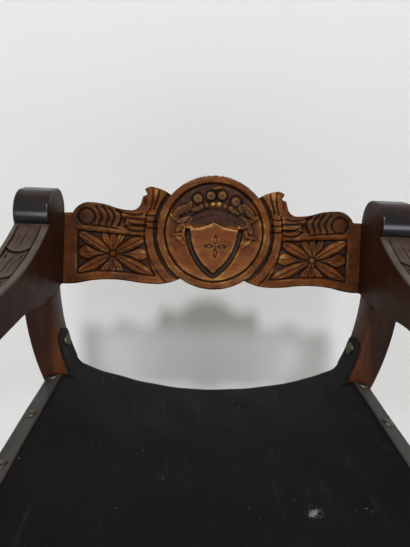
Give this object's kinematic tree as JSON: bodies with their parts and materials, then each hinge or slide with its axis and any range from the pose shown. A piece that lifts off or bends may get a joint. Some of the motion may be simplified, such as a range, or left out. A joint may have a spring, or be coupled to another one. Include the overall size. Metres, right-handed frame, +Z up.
{
  "type": "folding armchair",
  "caption": "Cross-legged folding armchair with S-curved legs, scrolled arms, a slung leather seat and a carved wooden back rail with a shield medallion.",
  "frame": {"origin": "on the floor, under the middle of the chair's overall box", "axes": "+Z up, the chair faces -Y, +X to the right as seen from the front"},
  "size_m": [0.628, 0.5944, 0.8178],
  "materials": {
    "dark_wood": "polished",
    "red_wood": "satin",
    "carved_wood": "satin",
    "seat_leather": "satin",
    "band_leather": "satin",
    "nail_brass": "aged",
    "stud_steel": "satin"
  },
  "bodies": {
    "pivot": {"front_rosette": "carved_wood", "pivot_stretcher": "red_wood", "rear_cap": "carved_wood", "seat_leather": "seat_leather"},
    "left_frame": {"left_arm": "dark_wood", "left_front_leg": "red_wood", "left_front_tab_nail": "nail_brass", "left_rail_stud": "stud_steel", "left_rear_leg": "red_wood", "left_rear_tab_nail": "nail_brass", "left_seat_band": "band_leather", "left_seat_rail": "red_wood", "left_tack_1": "nail_brass", "left_tack_2": "nail_brass", "left_tack_3": "nail_brass", "left_tack_4": "nail_brass", "right_front_foot": "red_wood", "right_rear_foot": "red_wood", "right_runner": "red_wood"},
    "right_frame": {"left_front_foot": "red_wood", "left_rear_foot": "red_wood", "left_runner": "red_wood", "right_arm": "dark_wood", "right_front_leg": "red_wood", "right_front_tab_nail": "nail_brass", "right_rail_stud": "stud_steel", "right_rear_leg": "red_wood", "right_rear_tab_nail": "nail_brass", "right_seat_band": "band_leather", "right_seat_rail": "red_wood", "right_tack_1": "nail_brass", "right_tack_2": "nail_brass", "right_tack_3": "nail_brass", "right_tack_4": "nail_brass"},
    "back_rail": {"back_rail": "carved_wood"}
  },
  "joints": [
    {"name": "left_fold", "type": "hinge", "parent": "pivot", "child": "left_frame", "pos_m": [0, 0, 0.26204], "axis": [0, 1, 0], "range_deg": [0, 22], "deforming": ["seat_leather"]},
    {"name": "right_fold", "type": "hinge", "parent": "pivot", "child": "right_frame", "pos_m": [0, 0, 0.26204], "axis": [0, 1, 0], "range_deg": [-22, 0]},
    {"name": "back_rail_lift", "type": "slide", "parent": "pivot", "child": "back_rail", "axis": [0, 0.247, 0.969], "range_m": [0, 0.3456]}
  ],
  "couplings": [
    {"joint": "right_fold", "follows": "left_fold", "ratio": -1},
    {"joint": "back_rail_lift", "follows": "left_fold", "m_per_rad": 0.9}
  ]
}
